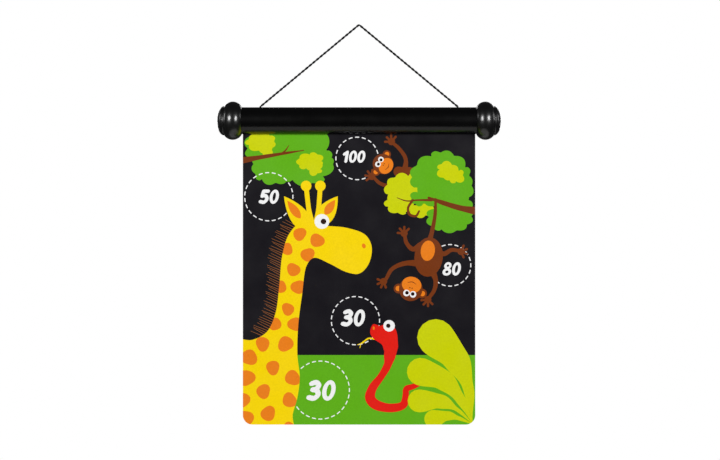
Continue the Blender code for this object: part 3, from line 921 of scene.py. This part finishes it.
def add_printed_panel(name, outline, picture, materials, body):
    """A closed piece of the sheet: its printed front, its plain back and its cut edge."""
    loops, first_loop = [], []
    for _, shape, holes, _ in picture.shapes:
        first_loop.append(len(loops))
        loops += [shape, *holes]
    points, triangles, owners = split_flat(outline, loops)
    bm = bmesh.new()

    def place(x, y, side):
        at_x, at_z = x * MM, SHEET_BOTTOM + y * MM
        return (at_x, side * SHEET_THICK / 2 + sheet_bow(at_x, at_z), at_z)

    used = sorted({number for corners in triangles for number in corners})
    front = {number: bm.verts.new(place(*points[number], -1)) for number in used}
    for corners, owner in zip(triangles, owners):
        face = bm.faces.new([front[number] for number in corners])
        face.material_index = ink_of(owner, picture, first_loop)
    loop = boundary_of(triangles)
    back_points, back_triangles, _ = split_flat([points[number] for number in loop], [])
    back = {}
    for corners in back_triangles:
        for number in corners:
            if number not in back:
                back[number] = bm.verts.new(place(*back_points[number], 1))
        face = bm.faces.new([back[number] for number in corners])
        face.material_index = len(INK_ORDER)
    for k, number in enumerate(loop):
        ahead = (k + 1) % len(loop)
        face = bm.faces.new((front[number], front[loop[ahead]], back[ahead], back[k]))
        face.material_index = len(INK_ORDER)
    return make_piece(name, bm, materials, body, 60.0)


def feed_angle():
    """Where a straight line from the slot touches the roll's outermost turn, at the back."""
    return -math.pi / 2 + math.acos(LAST_TURN / (AXIS_Z - SLOT_Z))


def feed_path(steps=28):
    """From the roll down to the slot in one easy bend, as (y, z) from the tube's axis."""
    angle = feed_angle()
    start, end = polar(angle, LAST_TURN), Vector((0.0, SLOT_Z - AXIS_Z))
    reach = (end - start).length
    pull_in = Vector((math.sin(angle), -math.cos(angle))) * reach
    pull_out = Vector((0.0, -1.0)) * reach
    path = []
    for i in range(steps + 1):
        t = i / steps
        point = start * (2 * t**3 - 3 * t**2 + 1) + pull_in * (t**3 - 2 * t**2 + t)
        path.append(point + end * (3 * t**2 - 2 * t**3) + pull_out * (t**3 - t**2))
    return path


def in_groove(sideways, height):
    """A point given across the rod's groove and up out of it, as (y, z)."""
    up = polar(GROOVE_ANGLE, 1.0)
    return Vector((-up.y, up.x)) * sideways + up * height


def wound_path(steps=120):
    """From the feed round the rod, then bent down into its groove."""
    bend_radius, offset, tail_end = 0.6 * MM, 0.75 * MM, 2.3 * MM
    reach = FIRST_TURN - bend_radius
    lean = math.asin((bend_radius + offset) / reach)
    start, end = feed_angle() + GAP / LAST_TURN, GROOVE_ANGLE + math.tau - lean
    path = []
    for i in range(steps + 1):
        share = i / steps
        radius = LAST_TURN + (FIRST_TURN - LAST_TURN) * share
        path.append(polar(start + (end - start) * share, radius))
    pivot = (-offset - bend_radius, math.sqrt(reach**2 - (offset + bend_radius) ** 2))
    bend = arc(pivot, bend_radius, 90 + math.degrees(lean), 0, 12)[1:]
    return path + [in_groove(*point) for point in [*bend, (-offset, tail_end)]]


def add_ribbon(name, path, left, right, materials, body):
    """A length of the sheet inside the tube, with the material numbers of its two faces."""
    bm = bmesh.new()
    rings, last = [], len(path) - 1
    for i, point in enumerate(path):
        along = (path[min(i + 1, last)] - path[max(i - 1, 0)]).normalized()
        across = Vector((-along.y, along.x)) * SHEET_THICK / 2
        ring = []
        for side, face in ((-1, 1), (1, 1), (1, -1), (-1, -1)):
            y, z = point + face * across
            ring.append(bm.verts.new((side * SHEET_HALF, y, AXIS_Z + z)))
        rings.append(ring)
    *steps, caps = join_rings(bm, rings)
    cut_edge = len(INK_ORDER)
    for faces in steps:
        for face, number in zip(faces, (left, cut_edge, right, cut_edge)):
            face.material_index = number
    for face in caps:
        face.material_index = cut_edge
    return make_piece(name, bm, materials, body, 60.0)


def add_sheet():
    """One sheet in four pieces: hanging panel, lower edge, feed to the roll, and the roll."""
    inks = [ink(f"ink_{name}", colour) for name, colour in INK_COLOURS.items()]
    materials = [*inks, sheet_back()]
    charcoal, back = INK_ORDER.index("charcoal"), len(INK_ORDER)
    picture = draw_picture()
    half, split = SHEET_HALF / MM, (SPLIT_Z - SHEET_BOTTOM) / MM
    top = (SLOT_Z - SHEET_BOTTOM) / MM
    outline = [(-half, split), (half, split), (half, top), (-half, top)]
    panel = add_printed_panel("play_sheet_panel", outline, picture, materials, "housing")
    corner = CORNER / MM
    outline = arc((-half + corner, corner), corner, 180, 270, 16)
    outline += arc((half - corner, corner), corner, 270, 360, 16)
    outline += [(half, split), (-half, split)]
    edge = add_printed_panel("play_sheet_end", outline, picture, materials, "sheet_end")
    feed = add_ribbon("play_sheet_feed", feed_path(), back, charcoal, materials, "housing")
    roll = add_ribbon("play_sheet_roll", wound_path(), charcoal, back, materials, "winder")
    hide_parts("play_sheet")
    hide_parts("play_sheet_lower_edge")
    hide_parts("play_sheet_wound_turn")
    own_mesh(panel)
    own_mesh(feed)


# ---------------------------------------------------------------- camera, light and floor

def add_camera():
    data = bpy.data.cameras.new("camera")
    data.lens = LENS_MM
    data.sensor_width = SENSOR_MM
    data.clip_end = 50.0
    camera = new_object("camera", data)
    distance = VIEW_WIDTH * LENS_MM / SENSOR_MM
    camera.location = (VIEW_CENTRE_X, -distance, AXIS_Z - VIEW_DROP)
    camera.rotation_euler = (math.pi / 2, 0, 0)
    bpy.context.scene.camera = camera


def add_softbox(name, azimuth, elevation, distance, size, power, target):
    """A rectangular light that looks at the target, at an azimuth to the right of the camera's."""
    data = bpy.data.lights.new(name, "AREA")
    data.shape = "RECTANGLE"
    data.size, data.size_y = size
    data.energy = power
    lamp = new_object(name, data)
    a, e = math.radians(azimuth), math.radians(elevation)
    away = Vector((math.sin(a) * math.cos(e), -math.cos(a) * math.cos(e), math.sin(e)))
    lamp.location = Vector(target) + away * distance
    lamp.rotation_euler = away.to_track_quat("Z", "Y").to_euler()
    lamp.visible_camera = False


def add_studio():
    target = (0.0, 0.0, AXIS_Z - 0.10)
    for name, side in SIDES:
        add_softbox(f"{name}_softbox", side * 37, 15, 2.0, (0.66, 0.70), 24.5, target)
        add_softbox(f"{name}_side_panel", side * 102, 14, 2.0, (0.35, 0.65), 2.4, target)
        add_softbox(f"{name}_back_panel", side * 160, 10, 2.4, (0.8, 1.0), 6, target)
    world = bpy.data.worlds.new("studio")
    bpy.context.scene.world = world
    world.use_nodes = True
    nodes, links = world.node_tree.nodes, world.node_tree.links
    path = nodes.new("ShaderNodeLightPath")
    mix = nodes.new("ShaderNodeMix")
    mix.data_type = "RGBA"
    mix.inputs["A"].default_value = (0.03, 0.03, 0.031, 1.0)
    mix.inputs["B"].default_value = (1.0, 1.0, 1.0, 1.0)
    links.new(path.outputs["Is Camera Ray"], mix.inputs["Factor"])
    links.new(mix.outputs["Result"], nodes["Background"].inputs["Color"])
    bpy.context.scene.view_settings.view_transform = "Standard"
    bpy.context.scene.view_settings.look = "None"


def add_floor():
    bm = bmesh.new()
    bmesh.ops.create_circle(bm, cap_ends=True, segments=96, radius=FLOOR_RADIUS)
    bmesh.ops.translate(bm, verts=bm.verts, vec=(0, 0, SHEET_BOTTOM - FLOOR_DROP))
    finish = Finish("pale_floor", (0.80, 0.80, 0.79), 0.85)
    paint = finish.worn((6.0, 3.0, 0.80, 0.90), (3.0, 3.0, (0.77, 0.77, 0.765)))
    floor = make_piece("floor", bm, [paint], None)


# ---------------------------------------------------------------- cord

def cord_line():
    left = [Vector((x, 0.0, AXIS_Z + h)) for x, h in CORD_ROUTE]
    right = [Vector((-p.x, p.y, p.z)) for p in reversed(left)]
    apex = Vector((CORD_APEX[0], 0.0, AXIS_Z + CORD_APEX[1]))
    return evenly(catmull_rom([*left, apex, *right], 40), RING_SPACING)


def ply_reach(angle):
    """The distance to the edge of two round plies lying side by side."""
    sideways = PLY_OFFSET * math.sin(angle)
    return PLY_OFFSET * abs(math.cos(angle)) + math.sqrt(PLY_RADIUS**2 - sideways**2)


def tube_along(name, line, reach, around, twist, materials, body, closed=False):
    """A tube round a line, with a section given by reach(angle) that turns as it goes."""
    bm = bmesh.new()
    layer = bm.loops.layers.uv.new("UVMap")
    rings, walked, lengths = [], 0.0, []
    count = len(line)
    side = None
    for i, point in enumerate(line):
        before = line[i - 1] if i or closed else line[0]
        after = line[(i + 1) % count] if i + 1 < count or closed else line[-1]
        along = (after - before).normalized()
        if side is None:
            side = along.cross(Vector((0.0, 1.0, 0.0)))
            if side.length < 0.1:
                side = along.cross(Vector((1.0, 0.0, 0.0)))
        side = (side - along * side.dot(along)).normalized()
        up = along.cross(side)
        walked += (point - line[i - 1]).length if i else 0.0
        ring = []
        for k in range(around):
            angle = math.tau * k / around
            turn = angle + math.tau * walked * twist
            out = (side * math.cos(turn) + up * math.sin(turn)) * reach(angle)
            ring.append(bm.verts.new(point + out))
        rings.append(ring)
        lengths.append(walked)
    steps = join_rings(bm, rings, closed, capped=not closed)
    for low in range(count if closed else count - 1):
        start, end = lengths[low], lengths[(low + 1) % count]
        for k, face in enumerate(steps[low]):
            marks = ((start, k), (start, k + 1), (end, k + 1), (end, k))
            for corner, (length, step) in zip(face.loops, marks):
                corner[layer].uv = (length, step / around)
    return make_piece(name, bm, materials, body, 70.0)


def knot_line(side):
    """One turn of a trefoil, drawn tight, under the tube's wall."""
    reach, lift = 0.46 * MM, 0.66 * MM
    centre = Vector((side * HOLE_X, 0.0, (KNOT_LOW.z + KNOT_HIGH.z) / 2))
    line = []
    for i in range(120):
        t = math.tau * i / 120
        line.append(centre + Vector((
            reach * (math.sin(t) + 2 * math.sin(2 * t)),
            reach * (math.cos(t) - 2 * math.cos(2 * t)),
            -lift * math.sin(3 * t),
        )))
    return line


def knot_reach(angle):
    return 0.60 * MM * (1 + 0.10 * math.cos(2 * angle))


def add_cord():
    fibre = [cord_fibre()]
    line = cord_line()
    twist = 1 / TWIST_PITCH
    cord = tube_along("twisted_hanging_cord", line, ply_reach, 26, twist, fibre, "housing")
    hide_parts("hanging_cord")
    for name, side in SIDES:
        loop = knot_line(side)
        title = f"{name}_stopper_knot"
        knot = tube_along(title, loop, knot_reach, 16, 0.0, fibre, "housing", closed=True)
        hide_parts(f"{name}_cord_knot")


# ---------------------------------------------------------------- tube, knobs and caps

def add_tube(material):
    """The slotted housing, with full-round slot edges, eased ends and the cord's two holes."""
    wall, ease, slot_half, hole_radius = 1.2 * MM, 0.25 * MM, 1.6 * MM, 1.5 * MM
    lip, bore = wall / 2, TUBE_RADIUS - wall
    middle = TUBE_RADIUS - lip
    open_angle = math.degrees(math.asin((slot_half + lip) / middle))
    start, end = -90 + open_angle, 270 - open_angle
    start_lip, end_lip = polar(math.radians(start), middle), polar(math.radians(end), middle)
    sections = []
    for x, inset in (
        (-TUBE_HALF, ease),
        (-TUBE_HALF + ease, 0.0),
        (TUBE_HALF - ease, 0.0),
        (TUBE_HALF, ease),
    ):
        outline = arc((0, 0), TUBE_RADIUS - inset, start, end, 180)
        outline += arc(end_lip, lip - inset, end, end + 180, 10)[1:-1]
        outline += arc((0, 0), bore + inset, end, start, 180)
        outline += arc(start_lip, lip - inset, start + 180, start + 360, 10)[1:-1]
        sections.append((x, outline))
    bm = drawn_out(sections)
    tube = make_piece("housing_tube_shell", bm, [material], "housing")
    for name, side in SIDES:
        hole = bmesh.new()
        sizes = {"radius1": hole_radius, "radius2": hole_radius, "depth": 6 * wall}
        bmesh.ops.create_cone(hole, cap_ends=True, segments=48, **sizes)
        place = (side * HOLE_X, 0, AXIS_Z + TUBE_RADIUS)
        bmesh.ops.translate(hole, verts=hole.verts, vec=place)
        cut(tube, hole, f"{name}_hole_tool")
    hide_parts("housing_tube")


def add_knob(name, side, material):
    """The grip: a smooth bulge, a bore that clears the tube, and a web with a D hole."""
    bulge_x, bulge_centre, bulge_radius = 159.9 * MM, 11.0 * MM, 13.2 * MM
    bore, mouth = TUBE_RADIUS + GAP, 15.0 * MM
    start, end = span("right_knob")
    web_start = span("right_friction_ring")[1] + GAP
    web_end, hub, hub_end, edge = web_start + 3.0 * MM, 7.5 * MM, 168.0 * MM, 0.25 * MM
    low, high = ((x - bulge_x) / bulge_radius for x in (start + edge, end - edge))
    angles = (math.degrees(math.acos(low)), math.degrees(math.acos(high)))
    bulge = arc((bulge_x, bulge_centre), bulge_radius, *angles, 64)
    profile = [
        (web_start, 0.0),
        (web_start, bore),
        *arc((start + edge, bore + edge), edge, 270, 180, 4),
        *bulge,
        *arc((end - edge, bulge[-1][1] - edge), edge, 60, 0, 4),
        *arc((end - edge, mouth + edge), edge, 0, -90, 4),
        (web_end, mouth),
        (web_end, hub),
        *arc((hub_end - edge, hub - edge), edge, 90, 0, 4),
        (hub_end, 0.0),
    ]
    bm = turned(profile, side, closed=False)
    knob = make_piece(f"{name}_ball_knob", bm, [material], "winder")
    hole_radius, flat = 4.3 * MM, 3.1 * MM
    flat_angle = math.degrees(math.asin(flat / hole_radius))
    outline = arc((0, 0), hole_radius, 180 - flat_angle, 360 + flat_angle, 60)
    ends = sorted((side * (web_start - MM), side * (hub_end + MM)))
    cut(knob, drawn_out([(x, outline) for x in ends]), f"{name}_knob_tool")
    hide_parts(f"{name}_knob")


def add_cap(name, side, material):
    """The shallow dome with its proud rim, and the skirt that snaps into the knob."""
    dome_radius, wall = 18.4 * MM, 1.5 * MM
    rim_radius, rim_height = 18.5 * MM, 1.4 * MM
    skirt, skirt_bore = 14.7 * MM, 13.2 * MM
    skirt_start, top = span("right_knob_cap")
    start = span("right_knob")[1] + 0.08 * MM
    depth = top - start
    outer_end = math.degrees(math.acos(rim_height / depth))
    inner_end = math.degrees(math.asin(skirt_bore / (dome_radius - wall)))
    edge = 0.4 * MM
    dome = arc((start, 0), depth, 0, outer_end, 56, dome_radius)
    ceiling = arc((start, 0), depth - wall, inner_end, 0, 32, dome_radius - wall)
    dome[0], ceiling[-1] = (start + depth, 0.0), (start + depth - wall, 0.0)
    profile = [
        *dome,
        *arc((start + rim_height - edge, rim_radius - edge), edge, 45, 90, 4),
        *arc((start + edge, rim_radius - edge), edge, 90, 180, 5),
        (start, skirt),
        *arc((skirt_start + edge, skirt - edge), edge, 90, 180, 4),
        (skirt_start, skirt_bore),
        *ceiling,
    ]
    bm = turned(profile, side, closed=False)
    cap = make_piece(f"{name}_domed_cap", bm, [material], "winder")
    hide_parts(f"{name}_knob_cap")


# ---------------------------------------------------------------- inside the tube

def add_turned(node, side, corners, materials, body):
    """A turned part from its (x, radius, corner rounding) list, in place of its CAD node."""
    profile = rounded([(x, r) for x, r, _ in corners], [c for _, _, c in corners])
    piece = make_piece(f"{node}_turned", turned(profile, side), materials, body)
    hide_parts(node)
    return piece


def add_end_bush(name, side, material):
    low, high = span("right_end_bush")
    flange, plug, rim, bore = high - 1.5 * MM, TUBE_RADIUS - 1.5 * MM, TUBE_RADIUS - 0.1 * MM, 4.3 * MM
    corners = [
        (low, bore, 0.3 * MM),
        (low, plug, 0.5 * MM),
        (flange, plug, 0.0),
        (flange, rim, 0.25 * MM),
        (high, rim, 0.35 * MM),
        (high, bore, 0.3 * MM),
    ]
    node = f"{name}_end_bush"
    bush = add_turned(node, side, corners, [material], "housing")
    start, end = sorted((side * (low + MM), side * (flange + 0.5 * MM)))
    key_half, key_depth, overlap = 1.2 * MM, 16.8 * MM, MM
    key = box((start, -key_half, -key_depth), (end, key_half, overlap - plug))
    cut(bush, key, f"{name}_key_tool", "UNION")


def add_friction_ring(name, side, material):
    low, high = span("right_friction_ring")
    outer, inner, edge = 12.0 * MM, 4.6 * MM, 0.35 * MM
    corners = [(low, inner, edge), (low, outer, edge), (high, outer, edge), (high, inner, edge)]
    add_turned(f"{name}_friction_ring", side, corners, [material], "winder")


def add_washer(name, side, material):
    """A punched washer: one face sharp, the other rolled over a little."""
    low, high = span("right_washer")
    outer, inner = 6.0 * MM, 1.9 * MM
    corners = [(low, inner, 0.0), (low, outer, 0.1 * MM)]
    corners += [(high, outer, 0.3 * MM), (high, inner, 0.15 * MM)]
    add_turned(f"{name}_washer", side, corners, [material], "winder")


def add_screw(name, side, material):
    """A pan-head screw: domed head with a cross recess, plain neck, and a cut thread."""
    tip, end = span("right_knob_screw")
    head_start, head_radius, head_edge = end - 2.4 * MM, 3.4 * MM, 1.6 * MM
    shank, pitch, depth, taper, steps = 1.5 * MM, 0.9 * MM, 0.32 * MM, 1.6 * MM, 36
    thread_end, run_out = head_start - 3.0 * MM, 0.6 * MM
    bm = bmesh.new()
    rings = []
    count = round((thread_end - tip) / pitch * 12)
    for i in range(count + 1):
        x = tip + (thread_end - tip) * i / count
        radii = []
        for k in range(steps):
            phase = ((x - tip) / pitch - side * k / steps) % 1.0
            radius = shank - depth * min(1.0, abs(2.0 * phase - 1.0) * 1.5)
            radii.append(radius * min(1.0, 0.15 + (x - tip) / taper))
        rings.append(axis_ring(bm, side * x, radii))
    pan = arc((end - head_edge, 0), head_edge, 85, 0, 14, head_radius)[:-1]
    neck = [(thread_end + run_out, shank), (head_start, shank), (head_start, head_radius)]
    for x, radius in [*neck, *pan]:
        rings.append(axis_ring(bm, side * x, [radius] * steps))
    join_rings(bm, rings)
    node = f"{name}_knob_screw"
    screw = make_piece(f"{node}_threaded", bm, [material], "winder", 40.0)
    start, stop = sorted((side * (end - 1.3 * MM), side * (end + MM)))
    slot_half, slot_reach = 0.4 * MM, 1.9 * MM
    for number, (a, b) in enumerate(((slot_half, slot_reach), (slot_reach, slot_half))):
        cut(screw, box((start, -a, -b), (stop, a, b)), f"{name}_recess_tool_{number}")
    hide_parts(node)


def add_rod(material):
    """The winding rod: its groove for the sheet's tail, its journals, flats and screw holes."""
    end = span("winding_rod")[1]
    body, radius, journal, edge = 148.9 * MM, 5.0 * MM, 4.0 * MM, 0.5 * MM
    groove_end, groove_half, groove_floor = 147.6 * MM, 1.3 * MM, 2.0 * MM
    flat_start, flat_height = 162.2 * MM, 2.8 * MM
    hole_radius, hole_start, beyond = 1.8 * MM, end - 12 * MM, end + MM
    half = [
        *arc((body - edge, radius - edge), edge, 90, 0, 4),
        (body, journal),
        *arc((end - edge, journal - edge), edge, 90, 0, 4),
        (end, 0.0),
    ]
    profile = [(-x, r) for x, r in reversed(half)] + half
    bm = turned(profile, 1, 96, closed=False)
    rod = make_piece("grooved_winding_rod", bm, [material], "winder")
    low, high = (-groove_end, -groove_half, groove_floor), (groove_end, groove_half, 2 * radius)
    cut(rod, box(low, high, GROOVE_ANGLE - math.pi / 2), "groove_tool")
    for name, side in SIDES:
        left, right = sorted((side * flat_start, side * beyond))
        flat = box((left, -2 * journal, flat_height), (right, 2 * journal, 2 * journal))
        cut(rod, flat, f"{name}_flat_tool")
        hole = [(hole_start, 0.0), (hole_start, hole_radius), (beyond, hole_radius), (beyond, 0.0)]
        cut(rod, turned(hole, side, 48, closed=False), f"{name}_pilot_tool")
    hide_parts("winding_rod")


def add_strip(material):
    """The strip that wedges the sheet's tail in the rod's groove."""
    back, front, floor, top, edge = -MM, 0.2 * MM, 2.3 * MM, 4.7 * MM, 0.25 * MM
    low, high = (-SHEET_HALF, back, floor), (SHEET_HALF, front, top)
    strip = box(low, high, GROOVE_ANGLE - math.pi / 2)
    bmesh.ops.bevel(strip, geom=strip.edges[:], offset=edge, segments=4, affect="EDGES")
    piece = make_piece("tail_clamp_strip", strip, [material], "winder")
    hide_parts("sheet_clamp_strip")


# ---------------------------------------------------------------- assembly

def main():
    add_camera()
    add_cord()
    add_studio()
    add_floor()
    grey, steel, rubber = grey_plastic(), zinc_steel(), friction_rubber()
    add_tube(black_gloss_plastic("extruded_black_plastic", 0.0012, 0.22, 0.0))
    knob_black = black_gloss_plastic("moulded_black_plastic", 0.0020, 0.33, 1.0)
    for name, side in SIDES:
        add_knob(name, side, knob_black)
        add_cap(name, side, knob_black)
    add_sheet()
    add_rod(grey)
    add_strip(grey)
    for name, side in SIDES:
        add_end_bush(name, side, grey)
        add_friction_ring(name, side, rubber)
        add_washer(name, side, steel)
        add_screw(name, side, steel)


main()
